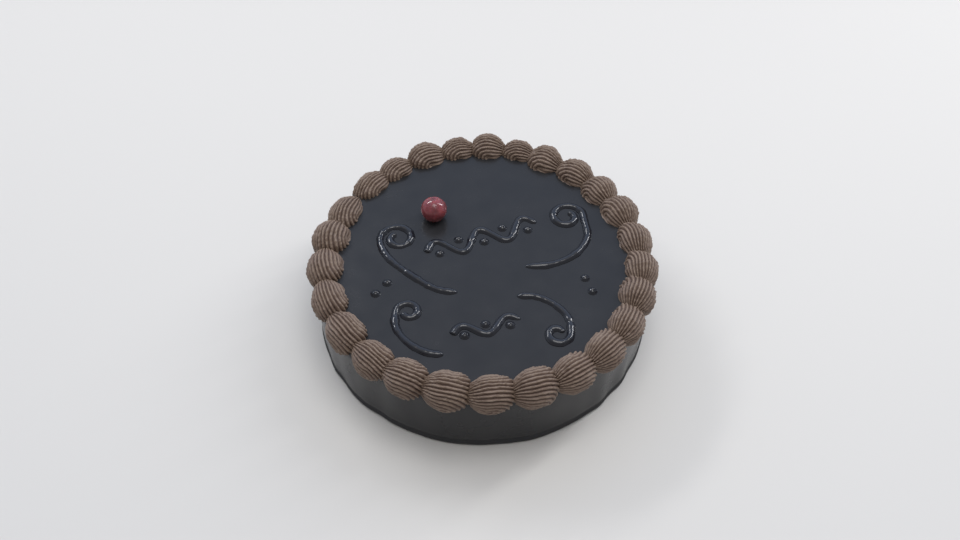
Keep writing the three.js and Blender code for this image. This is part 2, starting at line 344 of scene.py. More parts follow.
# %% Tree helpers
def new_shape(name, sizes):
    """A Geometry Nodes tree with these named inputs, and the outputs of its input node."""
    tree = bpy.data.node_groups.new(name, "GeometryNodeTree")
    for socket, kind in sizes.items():
        tree.interface.new_socket(socket, in_out="INPUT", socket_type="NodeSocket" + kind)
    tree.interface.new_socket("Shape", in_out="OUTPUT", socket_type="NodeSocketGeometry")
    return tree, tree.nodes.new("NodeGroupInput").outputs


def close_shape(tree, shape, material):
    """Ends a tree: smooth faces, real geometry and a material."""
    smooth = add(tree, "GeometryNodeSetShadeSmooth", {"Geometry": shape})
    real = add(tree, "GeometryNodeRealizeInstances", {"Geometry": smooth})
    dressed = add(tree, "GeometryNodeSetMaterial", {"Geometry": real, "Material": material})
    add(tree, "NodeGroupOutput", {"Shape": dressed})


def run_shape(tree, name, sizes, start=None):
    """Runs a tree once with these sizes and keeps the result as a plain mesh."""
    base = start or bpy.data.meshes.new("start")
    carrier = bpy.data.objects.new("carrier", base)
    bpy.context.collection.objects.link(carrier)
    modifier = carrier.modifiers.new("shape", "NODES")
    modifier.node_group = tree
    for item in tree.interface.items_tree:
        if item.name in sizes:
            modifier[item.identifier] = sizes[item.name]
    depsgraph = bpy.context.evaluated_depsgraph_get()
    mesh = bpy.data.meshes.new_from_object(
        carrier.evaluated_get(depsgraph), preserve_all_data_layers=True, depsgraph=depsgraph)
    bpy.data.objects.remove(carrier)
    bpy.data.meshes.remove(base)
    if mesh.materials[0] is None:
        mesh.materials.pop(index=0)
    mesh.name = name
    return mesh


def shown(mesh, node):
    """Puts a finished mesh in the scene, in place of the solid that it stands for."""
    piece = bpy.data.objects.new(mesh.name, mesh)
    bpy.context.collection.objects.link(piece)
    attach(piece, "root")
    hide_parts(node)


print("helpers ready")

# %% [markdown]
# ## The glazed body
# The real body is a drum of sponge with the glaze poured over it. An outline turned round the axis, as
# on a lathe, gives the drum: base, foot, side, round shoulder and top. The outline is a chain of
# points, each with its distance from the axis and its height.

# %% Outline of the drum
SHOULDER = 9 * MM
FOOT_BEAD = 1.3 * MM
FOOT_BEAD_INSET = 0.6 * MM
FOOT_HEIGHT = 3.5 * MM
BEAD_FROM, BEAD_TURN = -90, 160  # degrees: from straight down, up and over the bead
BASE_REACH = 0.93  # the base's inner points keep clear of the bead
BASE_STEPS, BEAD_STEPS, SIDE_STEPS, SHOULDER_STEPS, TOP_STEPS = 4, 8, 14, 12, 36


def drum_outline():
    """Points of the outline as (distance from the axis, height), from the base's middle to the top's."""
    base = [(CAKE_RADIUS * step / BASE_STEPS * BASE_REACH, 0) for step in range(BASE_STEPS)]
    bead = []
    for step in range(BEAD_STEPS + 1):
        turn = math.radians(BEAD_FROM + BEAD_TURN * step / BEAD_STEPS)
        bead.append((CAKE_RADIUS - FOOT_BEAD_INSET + FOOT_BEAD * math.cos(turn),
                     FOOT_HEIGHT / 2 * (1 + math.sin(turn))))
    side_top = CAKE_TOP - SHOULDER
    climb = (side_top - FOOT_HEIGHT) / SIDE_STEPS
    side = [(CAKE_RADIUS, FOOT_HEIGHT + climb * step) for step in range(1, SIDE_STEPS)]
    inner = CAKE_RADIUS - SHOULDER
    shoulder = []
    for step in range(SHOULDER_STEPS + 1):
        turn = math.radians(90 * step / SHOULDER_STEPS)
        shoulder.append((inner + SHOULDER * math.cos(turn), side_top + SHOULDER * math.sin(turn)))
    top = [(inner * (1 - step / TOP_STEPS), CAKE_TOP) for step in range(1, TOP_STEPS + 1)]
    return base + bead + side + shoulder + top


outline = drum_outline()
print("outline of the drum:", len(outline), "points")

# %% [markdown]
# ## Turned and poured
# To turn the outline, the tree sweeps it along a circle. Both of its ends lie on the axis, where all
# copies meet, so a weld closes the base and the top. Poured glaze is never as even as turned work. It
# lies in shallow waves on the top and runs down the side in broad soft curtains that thicken on
# their way. So the tree then moves each point, up or down by one noise and in or out by another, each as
# wide as those waves are. The noise of the side is stretched upwards, since glaze runs down. The helper
# that makes such a noise serves every other shape on the cake too.

# %% Drum tree
ROUND_STEPS = 240
WELD = 0.0005 * MM  # far less than the distance between any two points that stay apart
drum_tree, given = new_shape("glazed drum", {
    "Outline": "Geometry", "Radius": "Float", "Height": "Float", "Wave": "Float", "Wave width": "Float",
    "Curtain above": "Float", "Curtain below": "Float", "Curtain width": "Float", "Stretch": "Float",
    "Seed": "Float", "Axis": "Vector", "Glaze": "Material"})
t = drum_tree
circle = add(t, "GeometryNodeCurvePrimitiveCircle", {
    "Resolution": ROUND_STEPS, "Radius": given["Radius"]}, mode="RADIUS")
circle = add(t, "GeometryNodeSetCurveNormal", {"Curve": circle}, mode="Z_UP")
chain = add(t, "GeometryNodeMeshToCurve", {"Mesh": given["Outline"]})
turned = add(t, "GeometryNodeCurveToMesh", {"Curve": circle, "Profile Curve": chain})
welded = add(t, "GeometryNodeMergeByDistance", {"Geometry": turned, "Distance": WELD})
drum = add(t, "GeometryNodeFlipFaces", {"Mesh": welded})

spot = add(t, "GeometryNodeInputPosition")
axes = add(t, "ShaderNodeSeparateXYZ", [spot])
flat = add(t, "ShaderNodeCombineXYZ", [axes.outputs["X"], axes.outputs["Y"], 0.0])
away = add(t, "ShaderNodeVectorMath", [flat], operation="LENGTH").outputs["Value"]
outwards = add(t, "ShaderNodeVectorMath", [flat], operation="NORMALIZE")
share_out = add(t, "ShaderNodeMath", [away, given["Radius"]], operation="DIVIDE")
share_up = add(t, "ShaderNodeMath", [axes.outputs["Z"], given["Height"]], operation="DIVIDE")
print("turned drum:", len(t.nodes), "nodes")

# %% Curtains and waves
SIDE_FROM = 0.9  # share of the radius where the curtains begin
OFF_BASE = 0.001  # points below this share of the height stay put
WAVES_KEEP_UP = 4.0  # the power that keeps the waves near the top


def uneven(tree, place, seed, size, fineness=1.0, detail=0.0):
    """A smooth noise that swings from about minus this size to plus this size."""
    run = add(tree, "ShaderNodeTexNoise", {
        "Vector": place, "W": seed, "Scale": fineness, "Detail": detail}, noise_dimensions="4D")
    run = add(tree, "ShaderNodeMath", [run, 2.0, -1.0], operation="MULTIPLY_ADD")
    return add(tree, "ShaderNodeMath", [run, size], operation="MULTIPLY")


tall = add(t, "ShaderNodeMath", [given["Curtain width"], given["Stretch"]], operation="MULTIPLY")
widths = add(t, "ShaderNodeCombineXYZ", [given["Curtain width"], given["Curtain width"], tall])
folds = add(t, "ShaderNodeVectorMath", [spot, widths], operation="DIVIDE")
thick = add(t, "ShaderNodeMix", {
    "Factor": share_up, "A": given["Curtain below"], "B": given["Curtain above"]})
curtain = uneven(t, folds, given["Seed"], thick)
on_side = add(t, "ShaderNodeMapRange", [share_out, SIDE_FROM, 1.0])
off_base = add(t, "ShaderNodeMath", [share_up, OFF_BASE], operation="GREATER_THAN")
curtain = add(t, "ShaderNodeMath", [curtain, on_side], operation="MULTIPLY")
curtain = add(t, "ShaderNodeMath", [curtain, off_base], operation="MULTIPLY")
sideways = add(t, "ShaderNodeVectorMath", {"Vector": outwards, "Scale": curtain}, operation="SCALE")

ripples = add(t, "ShaderNodeVectorMath", [flat, given["Wave width"]], operation="DIVIDE")
wave = uneven(t, ripples, given["Seed"], given["Wave"])
near_top = add(t, "ShaderNodeMath", [share_up, WAVES_KEEP_UP], operation="POWER")
lift = add(t, "ShaderNodeMath", [wave, near_top], operation="MULTIPLY")
moved = add(t, "ShaderNodeCombineXYZ", [0.0, 0.0, lift])
moved = add(t, "ShaderNodeVectorMath", [moved, sideways], operation="ADD")
moved = add(t, "ShaderNodeVectorMath", [moved, given["Axis"]], operation="ADD")
poured = add(t, "GeometryNodeSetPosition", {"Geometry": drum, "Offset": moved})
close_shape(t, poured, given["Glaze"])
print("whole drum tree:", len(t.nodes), "nodes")

# %% Pouring the glaze
def strung(places):
    """A mesh of places, each joined to the next, which a tree can turn into a curve."""
    chain = bpy.data.meshes.new("chain")
    chain.from_pydata(places, [(i, i + 1) for i in range(len(places) - 1)], [])
    return chain


# a swept section hangs upside down, so the heights count downwards
places = [(out - CAKE_RADIUS, -height, 0) for out, height in outline]
mesh = run_shape(drum_tree, "glazed_body", {
    "Radius": CAKE_RADIUS, "Height": CAKE_TOP, "Wave": 0.16 * MM, "Wave width": 38 * MM,
    "Curtain above": 0.7 * MM, "Curtain below": 1.3 * MM, "Curtain width": 17 * MM, "Stretch": 3.2,
    "Seed": 7.0, "Axis": AXIS, "Glaze": glaze}, start=strung(places))
shown(mesh, "cake")
print("glazed body:", len(mesh.polygons), "faces")

# %% [markdown]
# ## The piped shells
# A shell comes out of a star nozzle in one push: the bag swells it up and over, and then pulls away into
# a tail, which the next shell covers. The teeth of the nozzle leave ridges. Each ridge climbs out of
# the shell's foot, arches over its head and runs on into the tail, so from the side the ridges are nested
# hooks round a small eye, low on the shell's flank. One tree makes them all, run once for each shell
# with its own sizes. It starts from a flat grid: across it lie the ridges, and along it runs the way
# from the tail over the top to the head and back underneath. Its points are then moved:
# - the grid is wrapped into a closed bulb, so that its lines follow the ridges;
# - the bulb is stretched to the shell's length, width and height, and narrowed towards the tail;
# - the crest of each ridge is raised, with a sharp groove beside it;
# - the two eyes are pressed in, and a small toe is pushed out where the head sits on the glaze;
# - the outer end swells down over the side of the cake, out to the same distance all round;
# - a soft noise makes each shell a little different, and a fine one roughens its crests, because
#   whipped cream tears as it leaves the nozzle.

# %% Flat grid
SHELL_ALONG, SHELL_ACROSS = 161, 145
shell_tree, given = new_shape("piped shell", {
    "Head run": "Float", "Tail run": "Float", "Rise": "Float", "Drop": "Float", "Reach": "Float",
    "Fullness": "Float", "Tail droop": "Float", "Ridges": "Float", "Ridge depth": "Float",
    "Ridge wander": "Float", "Twist": "Float", "Eye": "Float", "Toe": "Float", "Overhang": "Float",
    "Unevenness": "Float", "Torn": "Float", "Seed": "Float", "Lean": "Vector", "Stand": "Vector",
    "Turn": "Vector", "Axis": "Vector", "Cream": "Material"})
t = shell_tree
sheet = add(t, "GeometryNodeMeshGrid", {
    "Size X": 2.0, "Size Y": 1.0, "Vertices X": SHELL_ALONG, "Vertices Y": SHELL_ACROSS})
on_grid = add(t, "ShaderNodeSeparateXYZ", [add(t, "GeometryNodeInputPosition")])
along = add(t, "ShaderNodeMath", [on_grid.outputs["X"], math.pi], operation="MULTIPLY")
across = add(t, "ShaderNodeMath", [on_grid.outputs["Y"], 0.5], operation="ADD")
across = add(t, "ShaderNodeMath", [across, math.pi], operation="MULTIPLY")
girth = add(t, "ShaderNodeMath", [across], operation="SINE")
side = add(t, "ShaderNodeMath", [across], operation="COSINE")
tailwards = add(t, "ShaderNodeMath", [along], operation="COSINE")
up = add(t, "ShaderNodeMath", [along], operation="SINE")
print("flat grid:", SHELL_ALONG * SHELL_ACROSS, "points")

# %% Wrapping the grid
TAIL_TIP = 0.9  # 1 would squeeze the tail's end to a line
to_tail = add(t, "ShaderNodeMath", [tailwards, 0.0], operation="MAXIMUM")
to_head = add(t, "ShaderNodeMath", [tailwards, 0.0], operation="MINIMUM")
bend = add(t, "ShaderNodeMath", [to_tail], operation="ARCSINE")
bend = add(t, "ShaderNodeMath", [bend, TAIL_TIP], operation="MULTIPLY")
into_tail = add(t, "ShaderNodeMath", [bend], operation="SINE")
off_tail = add(t, "ShaderNodeMath", [bend], operation="COSINE")
x = add(t, "ShaderNodeMath", [to_head, girth, into_tail], operation="MULTIPLY_ADD")
y = add(t, "ShaderNodeMath", [side, off_tail], operation="MULTIPLY")
y = add(t, "ShaderNodeMath", [y, -1.0], operation="MULTIPLY")
over = add(t, "ShaderNodeMath", [up], operation="SIGN")
over = add(t, "ShaderNodeMath", [over, off_tail], operation="MULTIPLY")
in_tail = add(t, "ShaderNodeMath", [tailwards, 0.0], operation="GREATER_THAN")
over = add(t, "ShaderNodeMix", {"Factor": in_tail, "A": up, "B": over})
z = add(t, "ShaderNodeMath", [over, girth], operation="MULTIPLY")
ball = add(t, "ShaderNodeCombineXYZ", [x, y, z])
print("wrapped grid:", len(t.nodes), "nodes")

# %% Ridge waves
RIDGE_SHARPNESS = 0.9
WANDER_FINENESS = 1.1
drift = uneven(t, ball, given["Seed"], given["Ridge wander"], WANDER_FINENESS, detail=1.0)
# a ridge is pi wide and along runs over two pi, so a twist of 1 shifts its far end by one ridge
slant = add(t, "ShaderNodeMath", [along, 0.5], operation="MULTIPLY")
slant = add(t, "ShaderNodeMath", [slant, given["Twist"], drift], operation="MULTIPLY_ADD")
turns = add(t, "ShaderNodeMath", [across, given["Ridges"], slant], operation="MULTIPLY_ADD")
wave = add(t, "ShaderNodeMath", [turns], operation="SINE")
wave = add(t, "ShaderNodeMath", [wave], operation="ABSOLUTE")
ridge = add(t, "ShaderNodeMath", [wave, RIDGE_SHARPNESS], operation="POWER")
print("with ridge waves:", len(t.nodes), "nodes")

# %% Stretching the bulb
# at a fullness of n, a point of the ball moves out by the factor (|x|^n + |y|^n + |z|^n)^(-1/n)
parts = add(t, "ShaderNodeSeparateXYZ", [ball]).outputs
power = None
for part in parts:
    size = add(t, "ShaderNodeMath", [part], operation="ABSOLUTE")
    size = add(t, "ShaderNodeMath", [size, given["Fullness"]], operation="POWER")
    power = add(t, "ShaderNodeMath", [power, size], operation="ADD") if power else size
root = add(t, "ShaderNodeMath", [-1.0, given["Fullness"]], operation="DIVIDE")
fuller = add(t, "ShaderNodeMath", [power, root], operation="POWER")
droop = add(t, "ShaderNodeMath", [into_tail, into_tail], operation="MULTIPLY")
droop = add(t, "ShaderNodeMath", [droop, given["Tail droop"]], operation="MULTIPLY")
tail = add(t, "ShaderNodeMath", [1.0, droop], operation="SUBTRACT")
high = add(t, "ShaderNodeMath", [given["Rise"], tail], operation="MULTIPLY")
is_up = add(t, "ShaderNodeMath", [z, 0.0], operation="GREATER_THAN")
height = add(t, "ShaderNodeMix", {"Factor": is_up, "A": given["Drop"], "B": high})
run = add(t, "ShaderNodeMix", {"Factor": in_tail, "A": given["Head run"], "B": given["Tail run"]})
reach = add(t, "ShaderNodeMath", [given["Reach"], tail], operation="MULTIPLY")
spans = add(t, "ShaderNodeCombineXYZ", [run, reach, height])
bulb = add(t, "ShaderNodeVectorMath", [ball, spans], operation="MULTIPLY")
bulb = add(t, "ShaderNodeVectorMath", {"Vector": bulb, "Scale": fuller}, operation="SCALE")
outwards = add(t, "ShaderNodeVectorMath", [ball, spans], operation="DIVIDE")
outwards = add(t, "ShaderNodeVectorMath", [outwards], operation="NORMALIZE")
print("stretched bulb:", len(t.nodes), "nodes")

# %% Ridges, eyes, toe and overhang
RIDGE_SHARE_PROUD = 0.25  # of a ridge's depth, this share stands out from the bulb
POLE_FADE = 0.45  # the power by which the ridges fade into the eyes
TAIL_FLATTENS = 0.6  # of a ridge's depth, this share is gone at the tail's tip
TOE_SPOT = Vector((-0.66, -0.66, 0.30)).normalized()
OVERHANG_SPOT = Vector((0, 0.92, -0.39)).normalized()
EYE_WIDTH, TOE_WIDTH, OVERHANG_WIDTH = 0.36, 0.5, 0.95


def near(tree, spot, target, width):
    """1 at a place on the ball, falling smoothly to 0 at this distance from it."""
    away = add(tree, "ShaderNodeVectorMath", [spot, target], operation="DISTANCE").outputs["Value"]
    return add(tree, "ShaderNodeMapRange", [away, width, 0.0, 0.0, 1.0], interpolation_type="SMOOTHSTEP")


raised = add(t, "ShaderNodeMath", [ridge, 1 - RIDGE_SHARE_PROUD], operation="SUBTRACT")
raised = add(t, "ShaderNodeMath", [raised, given["Ridge depth"]], operation="MULTIPLY")
fading = add(t, "ShaderNodeMath", [girth, 0.0], operation="MAXIMUM")
fading = add(t, "ShaderNodeMath", [fading, POLE_FADE], operation="POWER")
raised = add(t, "ShaderNodeMath", [raised, fading], operation="MULTIPLY")
flatter = add(t, "ShaderNodeMath", [into_tail, into_tail], operation="MULTIPLY")
flatter = add(t, "ShaderNodeMath", [flatter, -TAIL_FLATTENS, 1.0], operation="MULTIPLY_ADD")
raised = add(t, "ShaderNodeMath", [raised, flatter], operation="MULTIPLY")
for pole in ((0, -1, 0), (0, 1, 0)):
    pressed = add(t, "ShaderNodeMath", [near(t, ball, pole, EYE_WIDTH), given["Eye"]], operation="MULTIPLY")
    raised = add(t, "ShaderNodeMath", [raised, pressed], operation="SUBTRACT")
toe = near(t, ball, TOE_SPOT, TOE_WIDTH)
raised = add(t, "ShaderNodeMath", [toe, given["Toe"], raised], operation="MULTIPLY_ADD")
overhang = near(t, ball, OVERHANG_SPOT, OVERHANG_WIDTH)
raised = add(t, "ShaderNodeMath", [overhang, given["Overhang"], raised], operation="MULTIPLY_ADD")
print("with ridges, eyes, toe and overhang:", len(t.nodes), "nodes")

# %% Lumps and torn crests
LUMP_FINENESS, TORN_FINENESS = 1.6, 8.0
lumps = uneven(t, ball, given["Seed"], given["Unevenness"], LUMP_FINENESS, detail=2.0)
raised = add(t, "ShaderNodeMath", [raised, lumps], operation="ADD")
torn = uneven(t, ball, given["Seed"], ridge, TORN_FINENESS, detail=2.0)
torn = add(t, "ShaderNodeMath", [torn, fading], operation="MULTIPLY")
raised = add(t, "ShaderNodeMath", [torn, given["Torn"], raised], operation="MULTIPLY_ADD")
relief = add(t, "ShaderNodeVectorMath", {"Vector": outwards, "Scale": raised}, operation="SCALE")
final = add(t, "ShaderNodeVectorMath", [bulb, relief], operation="ADD")
print("with lumps and torn crests:", len(t.nodes), "nodes")

# %% From the grid to the finished shell
# the cream material uses this value to paint shade into the grooves and light onto the crests
marked = add(t, "GeometryNodeStoreNamedAttribute", {"Geometry": sheet, "Name": "ridge", "Value": ridge})
moved = add(t, "GeometryNodeSetPosition", {"Geometry": marked, "Position": final})
welded = add(t, "GeometryNodeMergeByDistance", {"Geometry": moved, "Distance": WELD})
outside = add(t, "GeometryNodeFlipFaces", {"Mesh": welded})
leaned = add(t, "GeometryNodeTransform", {
    "Geometry": outside, "Rotation": given["Lean"], "Translation": given["Stand"]})
placed = add(t, "GeometryNodeTransform", {
    "Geometry": leaned, "Rotation": given["Turn"], "Translation": given["Axis"]})
close_shape(t, placed, given["Cream"])
print("whole shell tree:", len(t.nodes), "nodes")

# %% [markdown]
# ## Twenty-six runs
# The solid of each shell already says how far round the cake it lies and how high and wide it is. Those
# sizes are measured from the solid's points, as distance from the cake's axis and angle round it, and
# fed to the tree. The other sizes are the same for all shells, apart from the twist of the ridges. The
# head runs ahead of the eyes and the tail runs back from them, each by a share of the distance between
# neighbours. A fullness of 2 makes the bulb's outline an ellipse, and more makes it plumper. The overhang
# fills what a shell lacks to the ring's outer radius. The seed is the shell's number, so every run gives
# the same cake.

# %% Measuring a shell's solid
def measure(node):
    """Where a border solid lies: the angle of its crest round the cake, and its extents."""
    points = [vertex.co - AXIS for vertex in frame["nodes"][node].data.vertices]
    crest = max(points, key=lambda point: point.z)
    out = [math.hypot(point.x, point.y) for point in points]
    return {
        "angle": math.atan2(crest.y, crest.x),
        "inner": min(out),
        "outer": max(out),
        "top": crest.z,
    }


shells = sorted(name for name in frame["nodes"] if name.startswith("shell_"))
sizes = [measure(name) for name in shells]
for index, size in enumerate(sizes):
    before, after = sizes[index - 1]["angle"], sizes[(index + 1) % len(sizes)]["angle"]
    size["pitch"] = ((before - after) % (2 * math.pi)) / 2
print("shells:", len(shells), "pitch in degrees:", [round(math.degrees(s["pitch"]), 1) for s in sizes])

# %% Piping the border
AXIS_HEIGHT = 48.5 * MM  # how high the middle of each bulb lies
RISE_SHARE = 0.97  # the ridges make up the rest of the height
LEAN = math.radians(22)
HEAD_SHARE, TAIL_SHARE = 0.585, 0.62
BORDER_RADIUS = 118 * MM
TWISTS = (-2.0, 2.0, 0.0, 2.0)
for index, (name, size) in enumerate(zip(shells, sizes)):
    middle = (size["inner"] + size["outer"]) / 2
    pitch = middle * size["pitch"]
    mesh = run_shape(shell_tree, name.replace("shell", "cream_shell"), {
        "Head run": pitch * HEAD_SHARE,
        "Tail run": pitch * TAIL_SHARE,
        "Rise": (size["top"] - AXIS_HEIGHT) * RISE_SHARE,
        "Drop": 7 * MM,
        "Reach": (size["outer"] - size["inner"]) / 2,
        "Fullness": 2.05,
        "Tail droop": 0.34,
        "Ridges": 15.0,
        "Ridge depth": 1.6 * MM,
        "Ridge wander": 1.2,
        "Twist": TWISTS[index % len(TWISTS)],
        "Eye": 1.6 * MM,
        "Toe": 1.3 * MM,
        "Overhang": max(0, BORDER_RADIUS - size["outer"]),
        "Unevenness": 1.1 * MM,
        "Torn": 1.3 * MM,
        "Seed": float(index),
        "Lean": (-LEAN, 0, 0),
        "Stand": (0, middle, AXIS_HEIGHT),
        "Turn": (0, 0, size["angle"] - math.pi / 2),
        "Axis": AXIS,
        "Cream": cream,
    })
    shown(mesh, name)
print("border:", len(shells), "shells of", len(mesh.polygons), "faces")

# %% [markdown]
# ## The cherry's shape
# One whole cherry, stoned and boiled until its skin has shrunk. It is a ball, a little lower than it is
# wide, with the dimple of its stem turned to the back and soft lumps all over. A ball moved by a
# dimple and a noise is enough for that. The lumps matter more than they seem to, because they
# break up the reflections on the wet skin, and only then does it look soft.

# %% Ball with a dimple
DIMPLE_SPOT, DIMPLE_WIDTH = (0.02, 0.41, 0.91), 0.5
CHERRY_FINENESS = 1.3
CHERRY_STEPS = (72, 48)
cherry_tree, given = new_shape("candied cherry", {
    "Radius": "Float", "Half height": "Float", "Dimple": "Float", "Unevenness": "Float",
    "Middle": "Vector", "Seed": "Float", "Skin": "Material"})
t = cherry_tree
ball = add(t, "GeometryNodeMeshUVSphere", [*CHERRY_STEPS, 1.0])
spot = add(t, "GeometryNodeInputPosition")
spans = add(t, "ShaderNodeCombineXYZ", [given["Radius"], given["Radius"], given["Half height"]])
dent = near(t, spot, DIMPLE_SPOT, DIMPLE_WIDTH)
dent = add(t, "ShaderNodeMath", [dent, given["Dimple"]], operation="MULTIPLY")
lumps = uneven(t, spot, given["Seed"], given["Unevenness"], CHERRY_FINENESS, detail=2.0)
raised = add(t, "ShaderNodeMath", [lumps, dent], operation="SUBTRACT")
fruit = add(t, "ShaderNodeVectorMath", [spot, spans], operation="MULTIPLY")
relief = add(t, "ShaderNodeVectorMath", {"Vector": spot, "Scale": raised}, operation="SCALE")
fruit = add(t, "ShaderNodeVectorMath", [fruit, relief], operation="ADD")
fruit = add(t, "ShaderNodeVectorMath", [fruit, given["Middle"]], operation="ADD")
moved = add(t, "GeometryNodeSetPosition", {"Geometry": ball, "Position": fruit})
close_shape(t, moved, given["Skin"])
print("tree of the cherry:", len(t.nodes), "nodes")

# %% Setting the cherry on the glaze
CHERRY_SINKS = 0.3 * MM
cherry_low, cherry_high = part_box("cherry")
CHERRY_MIDDLE = (cherry_low + cherry_high) / 2
CHERRY_RADIUS = (cherry_high.x - cherry_low.x) / 2
CHERRY_HALF = (cherry_high.z - cherry_low.z) / 2
mesh = run_shape(cherry_tree, "candied_cherry", {
    "Radius": CHERRY_RADIUS, "Half height": CHERRY_HALF + CHERRY_SINKS, "Dimple": 2 * MM,
    "Unevenness": 0.4 * MM, "Middle": CHERRY_MIDDLE - Vector((0, 0, CHERRY_SINKS)), "Seed": 3.0,
    "Skin": candied})
shown(mesh, "cherry")
print("cherry:", len(mesh.polygons), "faces")

# %% [markdown]
# ## The piped ornament
# Melted chocolate runs from a paper cone with a small hole. The hand swings and the line follows. The
# ornament here is four scrolls, each a small spiral that runs on into a tail, and two wavy lines. A
# route is written down as a baker thinks of it: where the eye of the spiral lies, how far it opens and
# through which places the tail runs, all in millimetres from the middle of the cake. A smooth curve
# through those points is what the hand would do between them.

# %% Plan of the ornament
BACK_SCROLL = {"inner": 4, "outer": 12.5, "turns": 1.25}
FRONT_SCROLL = {"inner": 3, "outer": 8.5, "turns": 1}
SCROLLS = {
    "scroll_left": {**BACK_SCROLL, "eye": (-57, 17), "leaves": 200, "hand": 1,
                    "tail": [(-62, -1), (-46, -16), (-30, -27), (-16, -30)]},
    "scroll_right": {**BACK_SCROLL, "eye": (58, 37), "leaves": -15, "hand": -1,
                     "tail": [(71, 18), (62, 3), (46, -6), (28, -8)]},
    "scroll_front_left": {**FRONT_SCROLL, "eye": (-47, -46), "leaves": 190, "hand": 1,
                          "tail": [(-54, -59), (-46, -70), (-35, -77), (-24, -79)]},
    "scroll_front_right": {**FRONT_SCROLL, "eye": (47, -63), "leaves": 10, "hand": 1,
                           "tail": [(54, -50), (45, -39), (33, -33), (22, -33)]},
}
WAVES = {
    "wave_back": {"from": (-37, 4), "to": (37, 31), "swing": 7.5, "bays": 5},
    "wave_front": {"from": (-19, -64), "to": (24, -52), "swing": 5, "bays": 3},
}
print("planned:", len(SCROLLS), "scrolls and", len(WAVES), "waves")

# %% Points that the hand passes
POINTS_A_TURN, POINTS_A_BAY = 9, 8


def scroll_points(eye, inner, outer, turns, leaves, hand, tail):
    """A spiral that opens out from its eye, and then the points of its tail."""
    points = []
    steps = round(POINTS_A_TURN * turns)
    for step in range(steps + 1):
        grown = step / steps
        angle = math.radians(leaves - hand * turns * 360 * (1 - grown))
        radius = inner + (outer - inner) * grown
        points.append(Vector((eye[0] + radius * math.cos(angle), eye[1] + radius * math.sin(angle))))
    return points + [Vector(point) for point in tail]


def wave_points(wave):
    """A line that swings from side to side between two ends."""
    start, end = Vector(wave["from"]), Vector(wave["to"])
    run = end - start
    left = Vector((-run.y, run.x)).normalized()
    steps = POINTS_A_BAY * wave["bays"]
    swings = [math.sin(step / steps * wave["bays"] * math.pi) for step in range(steps + 1)]
    return [start + run * step / steps + left * wave["swing"] * swing for step, swing in enumerate(swings)]


passed = {name: scroll_points(**scroll) for name, scroll in SCROLLS.items()}
passed |= {name: wave_points(wave) for name, wave in WAVES.items()}
print("points:", {name: len(points) for name, points in passed.items()})

# %% Smooth routes
def smooth(points, pieces=10):
    """A centripetal Catmull-Rom curve through the points."""
    points = [2 * points[0] - points[1], *points, 2 * points[-1] - points[-2]]
    route = []
    for a, b, c, d in zip(points, points[1:], points[2:], points[3:]):
        ta = 0
        tb = ta + (b - a).length ** 0.5
        tc = tb + (c - b).length ** 0.5
        td = tc + (d - c).length ** 0.5
        for piece in range(pieces):
            at = tb + (tc - tb) * piece / pieces
            ab = a.lerp(b, (at - ta) / (tb - ta))
            bc = b.lerp(c, (at - tb) / (tc - tb))
            cd = c.lerp(d, (at - tc) / (td - tc))
            abc = ab.lerp(bc, (at - ta) / (tc - ta))
            bcd = bc.lerp(cd, (at - tb) / (td - tb))
            route.append(abc.lerp(bcd, (at - tb) / (tc - tb)))
    return route + [points[-2]]


routes = {name: smooth(points) for name, points in passed.items()}
print("routes:", {name: len(route) for name, route in routes.items()})

# %% [markdown]
# ## The strand
# Before it sets, the chocolate slumps into a low strand with a round top and a foot that creeps
# outwards. It is thick where the cone touched down, thin where it was lifted, and swells wherever the
# hand slowed. So the tree turns a route into a curve, sweeps a flattened circle along it, and scales
# the circle at each point: by a short rounded start, a long pointed end and a noise.

# %% Line tree
LINE_STEP = 0.4 * MM
LUMP_WIDTH = 6 * MM  # about how far it is from one swell to the next
THINNEST = 0.02  # share of full thickness, so that an end never shrinks to nothing
line_tree, given = new_shape("piped line", {
    "Route": "Geometry", "Width": "Float", "Height": "Float", "Foot": "Float", "Start": "Float",
    "End": "Float", "Unevenness": "Float", "Seed": "Float", "Chocolate": "Material"})
t = line_tree
path = add(t, "GeometryNodeMeshToCurve", {"Mesh": given["Route"]})
path = add(t, "GeometryNodeResampleCurve", {"Curve": path, "Length": LINE_STEP}, mode="LENGTH")
path = add(t, "GeometryNodeSetCurveNormal", {"Curve": path}, mode="Z_UP")
along = add(t, "GeometryNodeSplineParameter")
whole = add(t, "GeometryNodeSplineLength")
left = add(t, "ShaderNodeMath", [whole, along.outputs["Length"]], operation="SUBTRACT")


def rounded(tree, distance, reach):
    """The share of full thickness at some distance from an end that is rounded off over this reach."""
    share = add(tree, "ShaderNodeMath", [distance, reach], operation="DIVIDE", use_clamp=True)
    rest = add(tree, "ShaderNodeMath", [2.0, share], operation="SUBTRACT")
    share = add(tree, "ShaderNodeMath", [share, rest], operation="MULTIPLY")
    return add(tree, "ShaderNodeMath", [share], operation="SQRT")


thick = add(t, "ShaderNodeMath", [rounded(t, along.outputs["Length"], given["Start"]),
                                  rounded(t, left, given["End"])], operation="MULTIPLY")
spot = add(t, "GeometryNodeInputPosition")
lumps = uneven(t, spot, given["Seed"], given["Unevenness"], 1 / LUMP_WIDTH, detail=1.0)
lumps = add(t, "ShaderNodeMath", [lumps, 1.0], operation="ADD")
thick = add(t, "ShaderNodeMath", [thick, lumps], operation="MULTIPLY")
thick = add(t, "ShaderNodeMath", [thick, THINNEST], operation="MAXIMUM")
print("strand's length and thickness:", len(t.nodes), "nodes")

# %% Section of the strand
SECTION_STEPS = 28
UNDERSIDE = 0.5 * MM  # how deep the lower half reaches into the glaze
FLARE_SHARPNESS = 5.0


